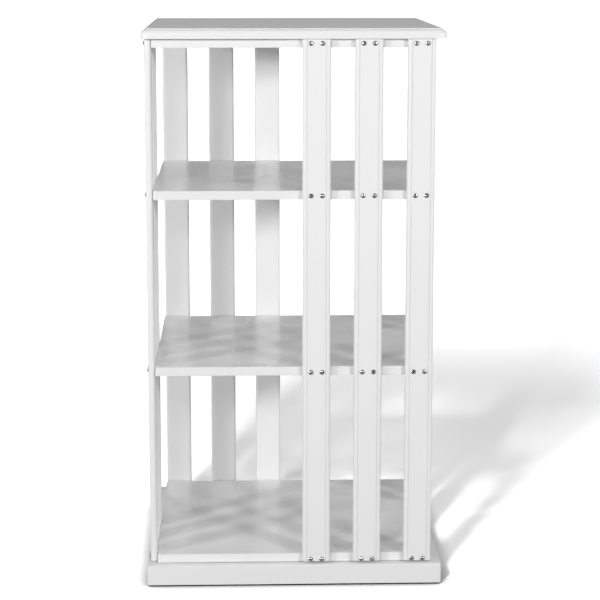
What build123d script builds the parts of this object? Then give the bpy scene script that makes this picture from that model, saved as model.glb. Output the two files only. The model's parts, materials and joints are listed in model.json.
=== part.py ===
"""Rotating display rack: a square shelf tower that turns on a ball-bearing ring in a low plinth.

Four square plates are held by twelve moulded slats, three on each side, screwed on from outside
so that every side is half slatted and half open.  A thicker board closes the top.

Units are millimetres.  +Z is up, the front is -Y, the origin is on the floor on the turning axis.
"""
import os

from build123d import *

os.makedirs("parts", exist_ok=True)

# ---- driving dimensions ----------------------------------------------------------------------
PLATE_SIDE = 500.0            # square plates that carry the goods
PLATE_THICK = 16.0
PLATE_CORNER = 5.0            # plan corner radius of the plates
PLATE_EDGE = 0.8              # softened edges of the plates
BAY_HEIGHTS = (332.5, 302.0, 251.0)   # clear heights from the lowest bay up

BOARD_SIDE = 535.0            # top board and plinth are equally wide
BOARD_THICK = 18.0
BOARD_CORNER = 13.0           # plan corner radius of the top board
BOARD_LIP = 7.2               # upright part of the top board's edge
BOARD_ROUND = 8.8             # round-over above it
BOARD_RIM = 0.4               # softened lower edge

FOOT_HEIGHT = 2.4
PLINTH_HEIGHT = 36.0
RAIL_WIDTH = 24.0
PLINTH_CORNER = 4.0           # plan corner radius of the plinth
PLINTH_ROUND = 1.5            # rounded upper edge of the plinth
SWIVEL_GAP = 0.6              # air between plinth and lowest plate

SLAT_WIDTH = 50.0
SLAT_THICK = 12.0
SLAT_GAP = 42.0
SLAT_COUNT = 3                # per side
SLAT_INSET = 1.5              # from the plate's corner to the first slat
SLAT_RAISE = 4.0              # slat ends sit this far above the lowest plate's underside
SLAT_TOP_GAP = 0.5
SLAT_BEAD = 7.9               # from each slat edge to the groove in the outer face
SLAT_GROOVE = (1.1, 0.6)      # width and depth of that V-shaped groove
SLAT_ROUND = 5.0

SCREW_SPACING = 20.0          # two screws side by side in every slat at every plate
SCREW_SHANK_R = 1.75
SCREW_LENGTH = 35.0
SCREW_HEAD_R = 4.2
SCREW_HEAD_RIM = 0.9
SCREW_HEAD_HEIGHT = 2.5
HOLE_PLAY = 0.05              # holes are this much larger in radius than the shanks in them

PANEL_THICK = 12.0            # plinth panel that carries the bearing
RING_THICK = 7.0
RING_OFFSET = 3.0             # height step between the two bearing rings
OUTER_RING_R = 150.0
INNER_RING_R = 115.0
BALL_CIRCLE_R = 132.5
BALL_R = 1.5
BALL_PLAY = 0.1
BALL_COUNT = 40
RING_SPLIT = 0.8              # from the ball circle to each ring's wall
CAGE_THICK = 0.8
CAGE_HEIGHT = 4.8
RING_SCREWS = 6
OUTER_SCREW_CIRCLE_R = 142.0
INNER_SCREW_CIRCLE_R = 123.0
ACCESS_HOLE_R = 7.0           # lets a screwdriver reach the upper ring's screws

BLOCK_SIDE = 40.0             # corner blocks inside the plinth
BLOCK_SCREW_INSET = 9.5
FOOT_R = 14.0
FOOT_POS = 225.0
PANEL_SCREW_POS = 232.0
TOP_SCREW_POS = 180.0

# ---- heights that follow from them -----------------------------------------------------------
plinth_bottom = FOOT_HEIGHT
plinth_top = plinth_bottom + PLINTH_HEIGHT
bottom_plate_z = plinth_top + SWIVEL_GAP
middle_shelf_z = bottom_plate_z + PLATE_THICK + BAY_HEIGHTS[0]
upper_shelf_z = middle_shelf_z + PLATE_THICK + BAY_HEIGHTS[1]
top_plate_z = upper_shelf_z + PLATE_THICK + BAY_HEIGHTS[2]
top_board_z = top_plate_z + PLATE_THICK
plate_levels = (bottom_plate_z, middle_shelf_z, upper_shelf_z, top_plate_z)

slat_bottom = bottom_plate_z + SLAT_RAISE
slat_top = top_board_z - SLAT_TOP_GAP
slat_pitch = SLAT_WIDTH + SLAT_GAP

bearing_height = RING_THICK + RING_OFFSET
panel_top = bottom_plate_z - bearing_height
panel_bottom = panel_top - PANEL_THICK
outer_ring_top = panel_top + RING_THICK
inner_ring_bottom = bottom_plate_z - RING_THICK
ball_level = (inner_ring_bottom + outer_ring_top) / 2

half_plate = PLATE_SIDE / 2
half_board = BOARD_SIDE / 2
half_opening = half_board - RAIL_WIDTH

SIDES = ("front", "right", "back", "left")     # each a quarter turn on from the one before


# ---- small helpers ---------------------------------------------------------------------------
def save(node, shape):
    export_step(shape, f"parts/{node}.step")


def rounded_prism(side, corner, z_low, height):
    """Square prism with rounded upright corners, standing at z_low."""
    return Pos(0, 0, z_low) * extrude(RectangleRounded(side, side, corner), height)


def cylinder_z(radius, z_low, z_high, x=0.0, y=0.0):
    return Pos(x, y, (z_low + z_high) / 2) * Cylinder(radius, z_high - z_low)


def around(count, radius, start=0.0):
    """Positions evenly spaced on a circle."""
    return PolarLocations(radius, count, start_angle=start)


def corner_signs():
    return [(1, 1), (-1, 1), (-1, -1), (1, -1)]


def to_side(index, shape):
    """Turn something made for the front round to side number index."""
    return Rot(0, 0, 90 * index) * shape


def cross_recess(size, width, depth):
    """Cross-shaped driver recess, cut down from z = 0."""
    bar = Box(size, width, depth, align=(Align.CENTER, Align.CENTER, Align.MAX))
    return bar + Rot(0, 0, 90) * bar


def pan_screw():
    """Round-head screw driven along +Z: head below z = 0, shank above it."""
    head_profile = make_face(
        Line((0, 0), (SCREW_HEAD_R, 0))
        + Line((SCREW_HEAD_R, 0), (SCREW_HEAD_R, SCREW_HEAD_RIM))
        + ThreePointArc((SCREW_HEAD_R, SCREW_HEAD_RIM), (2.5, 2.05), (0, SCREW_HEAD_HEIGHT))
        + Line((0, SCREW_HEAD_HEIGHT), (0, 0))
    )
    head = revolve(Plane.XZ * head_profile, Axis.Z)
    head -= Pos(0, 0, SCREW_HEAD_HEIGHT + 0.1) * cross_recess(4.6, 1.0, 1.4)
    return Rot(180, 0, 0) * head + screw_shank(SCREW_SHANK_R, SCREW_LENGTH)


def screw_shank(radius, length):
    """Pointed shank rising from z = 0."""
    tip = 2 * radius
    body = Cylinder(radius, length - tip, align=(Align.CENTER, Align.CENTER, Align.MIN))
    point = Cone(radius, 0.3, tip, align=(Align.CENTER, Align.CENTER, Align.MIN))
    return body + Pos(0, 0, length - tip) * point


def flat_screw(radius, length, head_radius):
    """Countersunk screw driven along +Z, its head flush with z = 0."""
    head_height = head_radius - radius
    head = Cone(head_radius, radius, head_height, align=(Align.CENTER, Align.CENTER, Align.MIN))
    screw = head + screw_shank(radius, length)
    recess = Rot(180, 0, 0) * cross_recess(1.2 * head_radius, 0.8, 1.0)
    return screw - recess


def flat_screw_hole(radius, length, head_radius):
    """Room for a flat_screw, opening at z = 0."""
    hole_r = radius + HOLE_PLAY
    sink_r = head_radius + HOLE_PLAY
    sink = Cone(sink_r, hole_r, sink_r - hole_r, align=(Align.CENTER, Align.CENTER, Align.MIN))
    return sink + Cylinder(hole_r, length + HOLE_PLAY, align=(Align.CENTER, Align.CENTER, Align.MIN))


# ---- slats and their screws ------------------------------------------------------------------
def slat_centre_x(number):
    """Distance of a slat's centre line from the middle of its side; slat 1 is the inner one."""
    outer = half_plate - SLAT_INSET - SLAT_WIDTH / 2
    return outer - (SLAT_COUNT - number) * slat_pitch


def slat_section():
    """Slat profile: rounded edges, and near each of them a V-groove in the outer (-Y) face."""
    half_w, half_t = SLAT_WIDTH / 2, SLAT_THICK / 2
    groove_x = half_w - SLAT_BEAD
    groove_half, groove_deep = SLAT_GROOVE[0] / 2, SLAT_GROOVE[1]
    flat_w = half_w - SLAT_ROUND
    knee = SLAT_ROUND * (1 - 0.5 ** 0.5)
    half = (
        Polyline((0, half_t), (0, -half_t), (groove_x - groove_half, -half_t),
                 (groove_x, groove_deep - half_t), (groove_x + groove_half, -half_t), (flat_w, -half_t))
        + ThreePointArc((flat_w, -half_t), (half_w - knee, knee - half_t), (half_w, SLAT_ROUND - half_t))
        + Line((half_w, SLAT_ROUND - half_t), (half_w, half_t - SLAT_ROUND))
        + ThreePointArc((half_w, half_t - SLAT_ROUND), (half_w - knee, half_t - knee), (flat_w, half_t))
        + Line((flat_w, half_t), (0, half_t))
    )
    half_face = make_face(half)
    return half_face + mirror(half_face, Plane.YZ)


def slat_screw_points():
    """Where the screws of one side enter, on the outer face of that side's slats."""
    face_y = -half_plate - SLAT_THICK
    points = []
    for number in range(1, SLAT_COUNT + 1):
        for level in plate_levels:
            for shift in (-SCREW_SPACING / 2, SCREW_SPACING / 2):
                points.append((slat_centre_x(number) + shift, face_y, level + PLATE_THICK / 2))
    return points


def slat_screw_holes():
    """Straight holes for all screws of the front side."""
    hole = Rot(-90, 0, 0) * Cylinder(SCREW_SHANK_R + HOLE_PLAY, SCREW_LENGTH + HOLE_PLAY,
                                     align=(Align.CENTER, Align.CENTER, Align.MIN))
    return [Pos(*point) * hole for point in slat_screw_points()]


def make_slats():
    length = slat_top - slat_bottom
    blank = extrude(slat_section(), length)
    mid_y = -half_plate - SLAT_THICK / 2
    for number in range(1, SLAT_COUNT + 1):
        slat = Pos(slat_centre_x(number), mid_y, slat_bottom) * blank
        low_x = slat_centre_x(number) - SLAT_WIDTH / 2
        own_holes = [hole for hole in slat_screw_holes()
                     if low_x < hole.center().X < low_x + SLAT_WIDTH]
        slat -= own_holes
        for index, side in enumerate(SIDES):
            save(f"slat_{side}_{number}", to_side(index, slat))


def make_slat_screws():
    """Each side's screws are one node; the recesses point in different directions."""
    screw = pan_screw()
    screws = []
    for count, point in enumerate(slat_screw_points()):
        screws.append(Pos(*point) * Rot(-90, 0, 0) * Rot(0, 0, 37 * count) * screw)
    for index, side in enumerate(SIDES):
        turned = [to_side(index, one) for one in screws]
        save(f"slat_screws_{side}", Compound(children=turned))


# ---- plates and top --------------------------------------------------------------------------
def plate_blank(level):
    blank = rounded_prism(PLATE_SIDE, PLATE_CORNER, level, PLATE_THICK)
    rims = blank.faces().sort_by(Axis.Z)[0].edges() + blank.faces().sort_by(Axis.Z)[-1].edges()
    return fillet(rims, PLATE_EDGE)


def side_holes_at(level):
    """Slat screw holes of all four sides in the plate at this level."""
    near = [hole for hole in slat_screw_holes() if level < hole.center().Z < level + PLATE_THICK]
    return [to_side(index, hole) for index in range(4) for hole in near]


TURNTABLE_SCREW = (1.75, 18.0, 3.6)     # shank radius, length, head radius
PANEL_RING_SCREW = (1.75, 13.0, 3.6)
TOP_SCREW = (2.0, 28.0, 4.0)


def upper_ring_screw_places():
    return [Pos(0, 0, inner_ring_bottom) * place
            for place in around(RING_SCREWS, INNER_SCREW_CIRCLE_R, 15)]


def top_screw_places():
    steps = (-TOP_SCREW_POS, 0, TOP_SCREW_POS)
    return [Pos(x, y, top_plate_z) for x in steps for y in steps if (x, y) != (0, 0)]


def make_plates():
    bottom = plate_blank(bottom_plate_z) - side_holes_at(bottom_plate_z)
    bottom -= [place * flat_screw_hole(*TURNTABLE_SCREW) for place in upper_ring_screw_places()]
    save("bottom_plate", bottom)
    save("middle_shelf", plate_blank(middle_shelf_z) - side_holes_at(middle_shelf_z))
    save("upper_shelf", plate_blank(upper_shelf_z) - side_holes_at(upper_shelf_z))
    top = plate_blank(top_plate_z) - side_holes_at(top_plate_z)
    top -= [place * flat_screw_hole(*TOP_SCREW) for place in top_screw_places()]
    save("top_plate", top)


def make_top_board():
    """Board with an upright lip, a round-over and a small step up to its flat top."""
    slab = rounded_prism(BOARD_SIDE, BOARD_CORNER, top_board_z, BOARD_LIP + BOARD_ROUND)
    slab = fillet(slab.faces().sort_by(Axis.Z)[-1].edges(), BOARD_ROUND)
    slab = fillet(slab.faces().sort_by(Axis.Z)[0].edges(), BOARD_RIM)
    field_side = BOARD_SIDE - 2 * BOARD_ROUND
    field = rounded_prism(field_side, BOARD_CORNER - BOARD_ROUND, top_board_z + 2, BOARD_THICK - 2)
    board = slab + field
    board -= [place * flat_screw_hole(*TOP_SCREW) for place in top_screw_places()]
    save("top_board", board)
    screw = flat_screw(*TOP_SCREW)
    save("top_board_screws", Compound(children=[place * screw for place in top_screw_places()]))


# ---- plinth ----------------------------------------------------------------------------------
BLOCK_SCREW = (2.0, 52.0, 4.0)
PANEL_SCREW = (2.0, 22.0, 4.0)


def block_screw_places():
    """Two level screws per corner block, one into each rail, at different heights."""
    low_edge = half_opening - BLOCK_SIDE
    along = low_edge + BLOCK_SCREW_INSET
    places = []
    for index in range(4):
        turn = Rot(0, 0, 90 * index)
        places.append(turn * Pos(low_edge, along, plinth_bottom + 4.5) * Rot(0, 90, 0))
        places.append(turn * Pos(along, low_edge, plinth_bottom + 10.5) * Rot(-90, 0, 0))
    return places


def panel_screw_places():
    return [Pos(sx * PANEL_SCREW_POS, sy * PANEL_SCREW_POS, panel_top) * Rot(180, 0, 0)
            for sx, sy in corner_signs()]


def lower_ring_screw_places():
    return [Pos(0, 0, outer_ring_top) * place * Rot(180, 0, 0)
            for place in around(RING_SCREWS, OUTER_SCREW_CIRCLE_R)]


def make_plinth_rails():
    """Four mitred rails with a rounded outer corner and upper edge."""
    outline = rounded_prism(BOARD_SIDE, PLINTH_CORNER, plinth_bottom, PLINTH_HEIGHT)
    outline = fillet(outline.faces().sort_by(Axis.Z)[-1].edges(), PLINTH_ROUND)
    wedge = make_face(Polyline((-half_board, -half_board), (half_board, -half_board),
                               (half_opening, -half_opening), (-half_opening, -half_opening),
                               close=True))
    wedge_solid = Pos(0, 0, plinth_bottom) * extrude(wedge, PLINTH_HEIGHT)
    holes = [place * flat_screw_hole(*BLOCK_SCREW) for place in block_screw_places()]
    for index, side in enumerate(SIDES):
        rail = outline & to_side(index, wedge_solid)
        save(f"base_rail_{side}", rail - holes)


def make_plinth_panel():
    side = 2 * half_opening
    panel = Pos(0, 0, (panel_top + panel_bottom) / 2) * Box(side, side, PANEL_THICK)
    panel -= [place * flat_screw_hole(*PANEL_SCREW) for place in panel_screw_places()]
    panel -= [place * flat_screw_hole(*PANEL_RING_SCREW) for place in lower_ring_screw_places()]
    reach = Rot(0, 0, 45) * Pos(INNER_SCREW_CIRCLE_R, 0, 0)
    panel -= reach * cylinder_z(ACCESS_HOLE_R, panel_bottom - 1, panel_top + 1)
    save("base_panel", panel)
    screw = flat_screw(*PANEL_SCREW)
    save("base_panel_screws", Compound(children=[place * screw for place in panel_screw_places()]))


def foot_nail_room():
    """Hole for one foot nail: a wide mouth for its head, then the narrow shank hole."""
    mouth = cylinder_z(3.1, 0, 1.1)
    return mouth + cylinder_z(1.1 + HOLE_PLAY, 1.1, 12.0 + HOLE_PLAY)


def foot_places():
    return [Pos(sx * FOOT_POS, sy * FOOT_POS, 0) for sx, sy in corner_signs()]


def make_corner_blocks():
    height = panel_bottom - plinth_bottom
    mid = half_opening - BLOCK_SIDE / 2
    cuts = [place * flat_screw_hole(*BLOCK_SCREW) for place in block_screw_places()]
    cuts += [place * flat_screw_hole(*PANEL_SCREW) for place in panel_screw_places()]
    cuts += [place * foot_nail_room() for place in foot_places()]
    blocks = []
    for sx, sy in corner_signs():
        block = Pos(sx * mid, sy * mid, plinth_bottom + height / 2) * Box(BLOCK_SIDE, BLOCK_SIDE, height)
        blocks.append(block - cuts)
    save("base_corner_blocks", Compound(children=blocks))
    screw = flat_screw(*BLOCK_SCREW)
    save("base_block_screws", Compound(children=[place * screw for place in block_screw_places()]))


def make_feet():
    pad = fillet(cylinder_z(FOOT_R, 0, FOOT_HEIGHT).edges().sort_by(Axis.Z)[0], 0.6)
    pad -= foot_nail_room()
    save("foot_pads", Compound(children=[place * pad for place in foot_places()]))
    nail = cylinder_z(3.0, 0.5, 1.1) + cylinder_z(1.1, 1.1, 10.0)
    nail += Pos(0, 0, 10.0) * Cone(1.1, 0.2, 2.0, align=(Align.CENTER, Align.CENTER, Align.MIN))
    save("foot_nails", Compound(children=[place * nail for place in foot_places()]))


# ---- ball-bearing turntable ------------------------------------------------------------------
def flat_ring(inner_r, outer_r, z_low, z_high):
    ring = cylinder_z(outer_r, z_low, z_high) - cylinder_z(inner_r, z_low - 1, z_high + 1)
    return chamfer(ring.edges().filter_by(GeomType.CIRCLE), 0.4)


def make_turntable():
    groove = Pos(0, 0, ball_level) * Torus(BALL_CIRCLE_R, BALL_R + BALL_PLAY)

    lower = flat_ring(BALL_CIRCLE_R + RING_SPLIT, OUTER_RING_R, panel_top, outer_ring_top) - groove
    lower -= [place * flat_screw_hole(*PANEL_RING_SCREW) for place in lower_ring_screw_places()]
    save("turntable_lower_ring", lower)
    screw = flat_screw(*PANEL_RING_SCREW)
    save("turntable_lower_screws",
         Compound(children=[place * screw for place in lower_ring_screw_places()]))

    upper = flat_ring(INNER_RING_R, BALL_CIRCLE_R - RING_SPLIT, inner_ring_bottom, bottom_plate_z) - groove
    upper -= [place * flat_screw_hole(*TURNTABLE_SCREW) for place in upper_ring_screw_places()]
    save("turntable_upper_ring", upper)
    screw = flat_screw(*TURNTABLE_SCREW)
    save("turntable_upper_screws",
         Compound(children=[place * screw for place in upper_ring_screw_places()]))

    balls = [Pos(0, 0, ball_level) * place * Sphere(BALL_R) for place in around(BALL_COUNT, BALL_CIRCLE_R)]
    save("bearing_balls", Compound(children=balls))

    cage_low, cage_high = ball_level - CAGE_HEIGHT / 2, ball_level + CAGE_HEIGHT / 2
    cage = cylinder_z(BALL_CIRCLE_R + CAGE_THICK / 2, cage_low, cage_high)
    cage -= cylinder_z(BALL_CIRCLE_R - CAGE_THICK / 2, cage_low - 1, cage_high + 1)
    pocket = Rot(0, 90, 0) * Cylinder(BALL_R + HOLE_PLAY, 4)
    cage -= [Pos(0, 0, ball_level) * place * pocket for place in around(BALL_COUNT, BALL_CIRCLE_R)]
    save("ball_cage_ring", cage)


make_slats()
make_slat_screws()
make_plates()
make_top_board()
make_plinth_rails()
make_plinth_panel()
make_corner_blocks()
make_feet()
make_turntable()
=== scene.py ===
"""Looks, light and camera of the rotating display rack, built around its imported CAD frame."""
import json
import math

import bpy
from mathutils import Euler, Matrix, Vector


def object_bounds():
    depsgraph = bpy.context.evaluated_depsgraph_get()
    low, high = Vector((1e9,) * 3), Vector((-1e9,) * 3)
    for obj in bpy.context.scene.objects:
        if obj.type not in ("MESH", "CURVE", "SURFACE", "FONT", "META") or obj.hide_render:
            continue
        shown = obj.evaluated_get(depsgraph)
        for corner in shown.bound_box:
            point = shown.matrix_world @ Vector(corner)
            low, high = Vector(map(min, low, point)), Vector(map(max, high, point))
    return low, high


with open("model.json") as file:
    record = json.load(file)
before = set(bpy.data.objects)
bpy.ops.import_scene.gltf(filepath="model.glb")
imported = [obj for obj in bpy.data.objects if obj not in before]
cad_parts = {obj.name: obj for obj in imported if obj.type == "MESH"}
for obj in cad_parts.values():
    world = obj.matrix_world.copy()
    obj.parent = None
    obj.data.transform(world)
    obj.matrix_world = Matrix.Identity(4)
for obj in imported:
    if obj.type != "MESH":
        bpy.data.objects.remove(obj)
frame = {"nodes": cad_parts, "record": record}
cad_box = [[float(v) for v in corner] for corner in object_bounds()]


# ---- node helpers ----------------------------------------------------------------------------
class Nodes:
    """Small wrapper that makes the nodes of one material and joins them up."""

    def __init__(self, name):
        self.material = bpy.data.materials.new(name)
        self.material.use_nodes = True
        self.tree = self.material.node_tree
        self.tree.nodes.clear()
        self.out = self.tree.nodes.new("ShaderNodeOutputMaterial")
        self.place = self.tree.nodes.new("ShaderNodeTexCoord").outputs["Object"]

    def add(self, kind, settings=None, **inputs):
        node = self.tree.nodes.new(kind)
        for key, value in (settings or {}).items():
            setattr(node, key, value)
        for key, value in inputs.items():
            self.put(node.inputs[key.replace("_", " ")], value)
        return node

    def put(self, socket, value):
        if isinstance(value, bpy.types.NodeSocket):
            self.tree.links.new(value, socket)
        else:
            socket.default_value = value

    def stretch(self, scale, turn=(0.0, 0.0, 0.0)):
        """Object coordinates scaled per axis, so a pattern can run along a board."""
        node = self.add("ShaderNodeMapping", Vector=self.place)
        node.inputs["Scale"].default_value = scale
        node.inputs["Rotation"].default_value = turn
        return node.outputs["Vector"]

    def noise(self, scale, detail=3.0, vector=None, rough=0.5):
        node = self.add("ShaderNodeTexNoise", Vector=vector or self.place,
                        Scale=scale, Detail=detail, Roughness=rough)
        return node.outputs["Fac"]

    def remap(self, value, low, high, to_low, to_high):
        node = self.add("ShaderNodeMapRange", Value=value)
        for key, number in (("From Min", low), ("From Max", high), ("To Min", to_low), ("To Max", to_high)):
            node.inputs[key].default_value = number
        return node.outputs["Result"]

    def math(self, kind, a, b=0.0):
        node = self.add("ShaderNodeMath", {"operation": kind})
        self.put(node.inputs[0], a)
        self.put(node.inputs[1], b)
        return node.outputs[0]

    def mix(self, factor, dark, light):
        node = self.add("ShaderNodeMix", {"data_type": "RGBA"})
        self.put(node.inputs["Factor"], factor)
        self.put(node.inputs["A"], dark)
        self.put(node.inputs["B"], light)
        return node.outputs["Result"]

    def bump(self, height, strength, distance, under=None):
        node = self.add("ShaderNodeBump", Height=height, Strength=strength, Distance=distance)
        if under is not None:
            self.put(node.inputs["Normal"], under)
        return node.outputs["Normal"]

    def finish(self, color, rough, normal, metal=0.0, specular=0.5):
        shader = self.tree.nodes.new("ShaderNodeBsdfPrincipled")
        self.put(shader.inputs["Base Color"], color)
        self.put(shader.inputs["Roughness"], rough)
        self.put(shader.inputs["Normal"], normal)
        shader.inputs["Metallic"].default_value = metal
        shader.inputs["Specular IOR Level"].default_value = specular
        self.tree.links.new(shader.outputs["BSDF"], self.out.inputs["Surface"])
        return self.material


def grey(value, warmth=0.0):
    return (value * (1 + warmth), value, value * (1 - warmth), 1.0)


# ---- materials -------------------------------------------------------------------------------
PAINT = 0.86                  # tone of the white lacquer
GROOVE_SHADE_REACH = 0.0025         # metres from a groove or inner corner over which painted shade is laid
GROOVE_SHADE = 0.6             # how dark the painted shade in grooves and inner corners gets
WORN_RADIUS = 0.0016          # metres from an edge that are worn
UPRIGHT_GRAIN = (700.0, 700.0, 14.0)
LEVEL_GRAIN = (14.0, 700.0, 700.0)


def lacquer(name, value, gloss, grain_scale):
    """White lacquer over fine-grained board: faint grain, spray texture, scuffs, edge wear and painted
    shade in grooves.
    """
    n = Nodes(name)
    grain = n.noise(1.0, 4.0, n.stretch(grain_scale), 0.6)
    spray = n.noise(520.0, 2.0)
    cloud = n.noise(5.0, 3.0)
    scuff = n.noise(1.0, 5.0, n.stretch((160.0, 160.0, 22.0), (0.3, 0.2, 0.1)), 0.7)
    rubbed = n.remap(scuff, 0.60, 0.78, 0.0, 1.0)

    soft_edge = n.add("ShaderNodeBevel", {"samples": 4}, Radius=WORN_RADIUS).outputs["Normal"]
    true_face = n.add("ShaderNodeNewGeometry").outputs["Normal"]
    match = n.add("ShaderNodeVectorMath", {"operation": "DOT_PRODUCT"})
    n.put(match.inputs[0], soft_edge)
    n.put(match.inputs[1], true_face)
    edge = n.remap(match.outputs["Value"], 0.985, 0.90, 0.0, 1.0)
    worn_edge = n.math("MULTIPLY", edge, n.remap(n.noise(70.0, 4.0), 0.45, 0.65, 0.0, 1.0))

    tint = n.mix(n.remap(cloud, 0.3, 0.7, 0.0, 1.0), grey(value * 0.985, 0.002), grey(value, 0.0))
    streaks = n.math("MULTIPLY", n.remap(grain, 0.35, 0.7, 0.0, 1.0), 0.25)
    tint = n.mix(streaks, tint, grey(value * 0.965, 0.003))
    tint = n.mix(n.math("MULTIPLY", worn_edge, 0.5), tint, grey(value * 0.90, 0.012))
    # painted shade: colour darkened by ambient occlusion in grooves and inner corners
    open_air = n.add("ShaderNodeAmbientOcclusion", {"samples": 6}, Distance=GROOVE_SHADE_REACH).outputs["AO"]
    tint = n.mix(n.remap(open_air, 0.95, 0.45, 0.0, GROOVE_SHADE), tint, grey(value * 0.5, 0.01))
    rough = n.remap(cloud, 0.3, 0.7, gloss - 0.03, gloss + 0.04)
    rough = n.math("ADD", rough, n.math("MULTIPLY", rubbed, 0.10))
    rough = n.math("ADD", rough, n.math("MULTIPLY", worn_edge, 0.12))
    normal = n.bump(grain, 0.10, 0.0002)
    normal = n.bump(spray, 0.06, 0.0002, normal)
    return n.finish(tint, rough, normal)


def bare_wood(name, light, dark, ring_scale):
    """Unpainted wood of the hidden plinth parts: rings, pores and a dry surface."""
    n = Nodes(name)
    warp = n.noise(6.0, 3.0)
    along = n.stretch((ring_scale, 2.0, ring_scale))
    rings = n.add("ShaderNodeTexWave", {"wave_type": "BANDS", "bands_direction": "DIAGONAL"},
                  Vector=along, Scale=1.0, Distortion=7.0, Detail=3.0).outputs["Fac"]
    pores = n.noise(1.0, 3.0, n.stretch((900.0, 40.0, 900.0)))
    tone = n.math("MULTIPLY", n.math("ADD", rings, warp), 0.5)
    color = n.mix(tone, dark, light)
    color = n.mix(n.remap(pores, 0.60, 0.75, 0.0, 0.5), color, dark)
    rough = n.remap(pores, 0.3, 0.7, 0.62, 0.80)
    return n.finish(color, rough, n.bump(pores, 0.25, 0.0004), specular=0.3)


def metal(name, value, warmth, rough, scratch, specks=0.0):
    """Plated or drawn metal: fine turning marks, cloudy roughness and small dull spots."""
    n = Nodes(name)
    marks = n.noise(1.0, 3.0, n.stretch((1800.0, 1800.0, 300.0)))
    cloud = n.noise(140.0, 3.0)
    dull = n.remap(n.noise(420.0, 4.0), 0.56, 0.70, 0.0, 1.0)
    color = n.mix(n.remap(cloud, 0.35, 0.65, 0.0, 1.0), grey(value * 0.90, warmth), grey(value, warmth))
    color = n.mix(n.math("MULTIPLY", dull, specks), color, grey(value * 0.55, warmth))
    finish = n.remap(cloud, 0.3, 0.7, rough * 0.75, rough * 1.3)
    finish = n.math("ADD", finish, n.math("MULTIPLY", dull, 0.12))
    return n.finish(color, finish, n.bump(marks, scratch, 0.00006), metal=1.0)


def moulded(name, color, dark, rough):
    """Moulded plastic with a fine eroded texture."""
    n = Nodes(name)
    pits = n.noise(1300.0, 2.0)
    cloud = n.noise(60.0, 3.0)
    tint = n.mix(n.remap(cloud, 0.3, 0.7, 0.0, 1.0), dark, color)
    finish = n.remap(pits, 0.3, 0.7, rough - 0.06, rough + 0.08)
    return n.finish(tint, finish, n.bump(pits, 0.2, 0.0001), specular=0.4)


looks = {
    "base_paint": lacquer("base_paint", PAINT, 0.42, LEVEL_GRAIN),
    "slat_paint": lacquer("slat_paint", PAINT, 0.44, UPRIGHT_GRAIN),
    "shelf_paint": lacquer("shelf_paint", PAINT, 0.24, LEVEL_GRAIN),
    "top_paint": lacquer("top_paint", PAINT, 0.30, LEVEL_GRAIN),
    "raw_ply": bare_wood("raw_ply", (0.62, 0.45, 0.28, 1.0), (0.44, 0.29, 0.16, 1.0), 30.0),
    "raw_wood": bare_wood("raw_wood", (0.66, 0.50, 0.31, 1.0), (0.48, 0.32, 0.18, 1.0), 60.0),
    "zinc": metal("zinc", 0.66, 0.01, 0.34, 0.15, 0.5),
    "nickel": metal("nickel", 0.50, 0.01, 0.20, 0.10, 0.15),
    "ring_aluminium": metal("ring_aluminium", 0.74, -0.01, 0.38, 0.30, 0.2),
    "cage_plastic": moulded("cage_plastic", (0.05, 0.05, 0.055, 1.0), (0.03, 0.03, 0.033, 1.0), 0.5),
    "ball_steel": metal("ball_steel", 0.72, 0.0, 0.08, 0.03),
    "foot_plastic": moulded("foot_plastic", (0.78, 0.78, 0.76, 1.0), (0.70, 0.70, 0.68, 1.0), 0.55),
}

node_slot = {entry["node"]: entry["material_slot"] for entry in frame["record"]["subparts"]}
for node, obj in frame["nodes"].items():
    for index in range(len(obj.data.materials)):
        obj.data.materials[index] = looks[node_slot[node]]


# ---- studio ----------------------------------------------------------------------------------
FLOOR_BRIGHT = 1.35           # over 1, so that the lit floor burns out to white
CONTACT_SHADOW_REACH = 0.045         # metres round the rack over which a painted contact shadow darkens the floor
CONTACT_SHADOW_DEPTH = 1.9           # how quickly the painted contact shadow darkens towards the rack
GLOW_NEAR, GLOW_FAR = 1.2, 3.067   # metres from the rack between which the floor starts to glow
FLOOR_FRONT, WALL_BACK, HALF_WIDTH = -30.0, 9.0, 30.0
WALL_BEND, WALL_TOP = 0.9, 6.0
BEND_STEPS = 16
FLOOR_DROP = 0.0005           # keeps the floor from flickering through the underside of the feet
ROOM_ABOVE, ROOM_BELOW = 0.135, 0.36

# name, bearing and rise in degrees, distance and side in metres, power in watts
LIGHTS = (
    ("key_left", -50.7, 14.5, 4.0, 0.40, 52.0),
    ("key_centre", -18.5, 14.5, 4.0, 0.40, 36.5),
    ("key_right", 35.6, 13.8, 4.0, 0.40, 57.0),
    ("side_left", -90.0, 15.0, 4.0, 1.5, 19.0),
    ("side_right", 90.0, 15.0, 4.0, 1.5, 28.0),
    ("overhead", 0.0, 80.0, 3.0, 2.0, 9.5),
)
SWEEP_LIGHT = ("sweep_light", -17.0, 25.0, 4.5, 0.40, 210.0)
middle = Vector((0.0, 0.0, 0.5 * (cad_box[1][2] - cad_box[0][2])))


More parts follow.
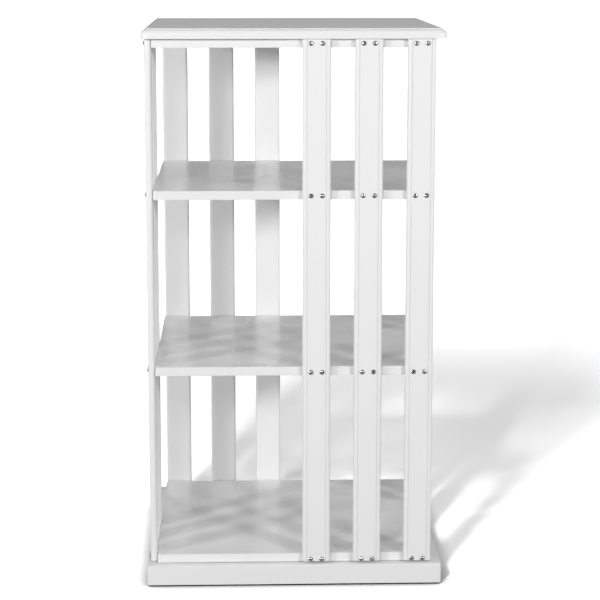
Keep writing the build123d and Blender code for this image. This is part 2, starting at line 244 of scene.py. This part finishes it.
def backdrop():
    """White floor that curves up into a wall behind the rack, far enough for a view from any side, with a
    painted contact shadow round the rack.
    """
    start = WALL_BACK - WALL_BEND
    profile = [(FLOOR_FRONT, 0.0), (start, 0.0)]
    for step in range(1, BEND_STEPS):
        angle = math.pi / 2 * step / BEND_STEPS
        profile.append((start + WALL_BEND * math.sin(angle), WALL_BEND - WALL_BEND * math.cos(angle)))
    profile += [(WALL_BACK, WALL_BEND), (WALL_BACK, WALL_TOP)]
    verts = [(x, y, z - FLOOR_DROP) for y, z in profile for x in (-HALF_WIDTH, HALF_WIDTH)]
    faces = [(2 * i, 2 * i + 1, 2 * i + 3, 2 * i + 2) for i in range(len(profile) - 1)]
    mesh = bpy.data.meshes.new("backdrop")
    mesh.from_pydata(verts, [], faces)
    for face in mesh.polygons:
        face.use_smooth = True
    obj = bpy.data.objects.new("backdrop", mesh)
    bpy.context.scene.collection.objects.link(obj)
    n = Nodes("backdrop")
    # painted contact shadow: floor colour darkened by ambient occlusion near the rack
    contact_shadow = n.add("ShaderNodeAmbientOcclusion", {"samples": 8}, Distance=CONTACT_SHADOW_REACH).outputs["AO"]
    contact_shadow = n.math("POWER", contact_shadow, CONTACT_SHADOW_DEPTH)
    where = n.add("ShaderNodeSeparateXYZ", Vector=n.place).outputs
    far = n.math("MAXIMUM", n.math("ABSOLUTE", where["X"]), n.math("ABSOLUTE", where["Y"]))
    shade = n.add("ShaderNodeBsdfDiffuse", Color=n.mix(contact_shadow, grey(0.0), grey(FLOOR_BRIGHT)))
    glow = n.add("ShaderNodeEmission", Color=grey(1.0),
                 Strength=n.remap(far, GLOW_NEAR, GLOW_FAR, 0.0, 1.0))
    both = n.add("ShaderNodeAddShader")
    n.put(both.inputs[0], shade.outputs[0])
    n.put(both.inputs[1], glow.outputs[0])
    n.tree.links.new(both.outputs[0], n.out.inputs["Surface"])
    mesh.materials.append(n.material)
    obj.visible_diffuse = False
    obj.visible_glossy = False
    obj.visible_shadow = False
    return obj


def area_light(name, bearing, rise, distance, size, power):
    """Square soft light aimed at the rack; bearing is from the front, positive to the right."""
    turn, lift = math.radians(bearing), math.radians(rise)
    away = Vector((math.sin(turn) * math.cos(lift), -math.cos(turn) * math.cos(lift), math.sin(lift)))
    light = bpy.data.lights.new(name, "AREA")
    light.shape = "SQUARE"
    light.size = size
    light.energy = power
    obj = bpy.data.objects.new(name, light)
    obj.location = middle + distance * away
    obj.rotation_euler = (-away).to_track_quat("-Z", "Y").to_euler()
    bpy.context.scene.collection.objects.link(obj)
    return obj


def surroundings(above, below):
    """Dim room: grey above and in front, brighter below and behind, where the white sweep is."""
    world = bpy.data.worlds.new("studio")
    bpy.context.scene.world = world
    world.use_nodes = True
    nodes, links = world.node_tree.nodes, world.node_tree.links
    way = nodes.new("ShaderNodeSeparateXYZ")
    links.new(nodes.new("ShaderNodeTexCoord").outputs["Generated"], way.inputs[0])
    down = nodes.new("ShaderNodeMath")
    down.operation = "MULTIPLY"
    down.inputs[1].default_value = -1.0
    links.new(way.outputs["Z"], down.inputs[0])
    swept = nodes.new("ShaderNodeMath")
    swept.operation = "MAXIMUM"
    links.new(down.outputs[0], swept.inputs[0])
    links.new(way.outputs["Y"], swept.inputs[1])
    level = nodes.new("ShaderNodeMapRange")
    for key, number in (("From Min", 0.0), ("From Max", 0.4), ("To Min", above), ("To Max", below)):
        level.inputs[key].default_value = number
    links.new(swept.outputs[0], level.inputs["Value"])
    links.new(level.outputs["Result"], nodes["Background"].inputs["Strength"])
    nodes["Background"].inputs["Color"].default_value = grey(1.0)


sweep = backdrop()
for light_values in LIGHTS:
    area_light(*light_values)
sweep_light = area_light(*SWEEP_LIGHT)
# the sweep light throws the soft shadow on the floor and leaves the rack alone
only_sweep = bpy.data.collections.new("only_sweep")
only_sweep.objects.link(sweep)
sweep_light.light_linking.receiver_collection = only_sweep
surroundings(ROOM_ABOVE, ROOM_BELOW)
bpy.context.scene.view_settings.view_transform = "Standard"

# ---- camera ----------------------------------------------------------------------------------
VIEW_TURN = 1.845             # degrees the view is turned clockwise, seen from above
VIEW_DROP = 10.20             # degrees it looks down
CAMERA_PLACE = (-0.1000, -3.6761, 1.1420)
CAMERA_LENS = 117.04          # millimetres, on a sensor 36 mm wide
camera_data = bpy.data.cameras.new("camera")
camera_data.sensor_width = 36.0
camera_data.lens = CAMERA_LENS
camera_data.clip_end = 100.0
camera = bpy.data.objects.new("camera", camera_data)
camera.location = CAMERA_PLACE
camera.rotation_euler = Euler((math.radians(90 - VIEW_DROP), 0.0, math.radians(-VIEW_TURN)))
bpy.context.scene.collection.objects.link(camera)
bpy.context.scene.camera = camera
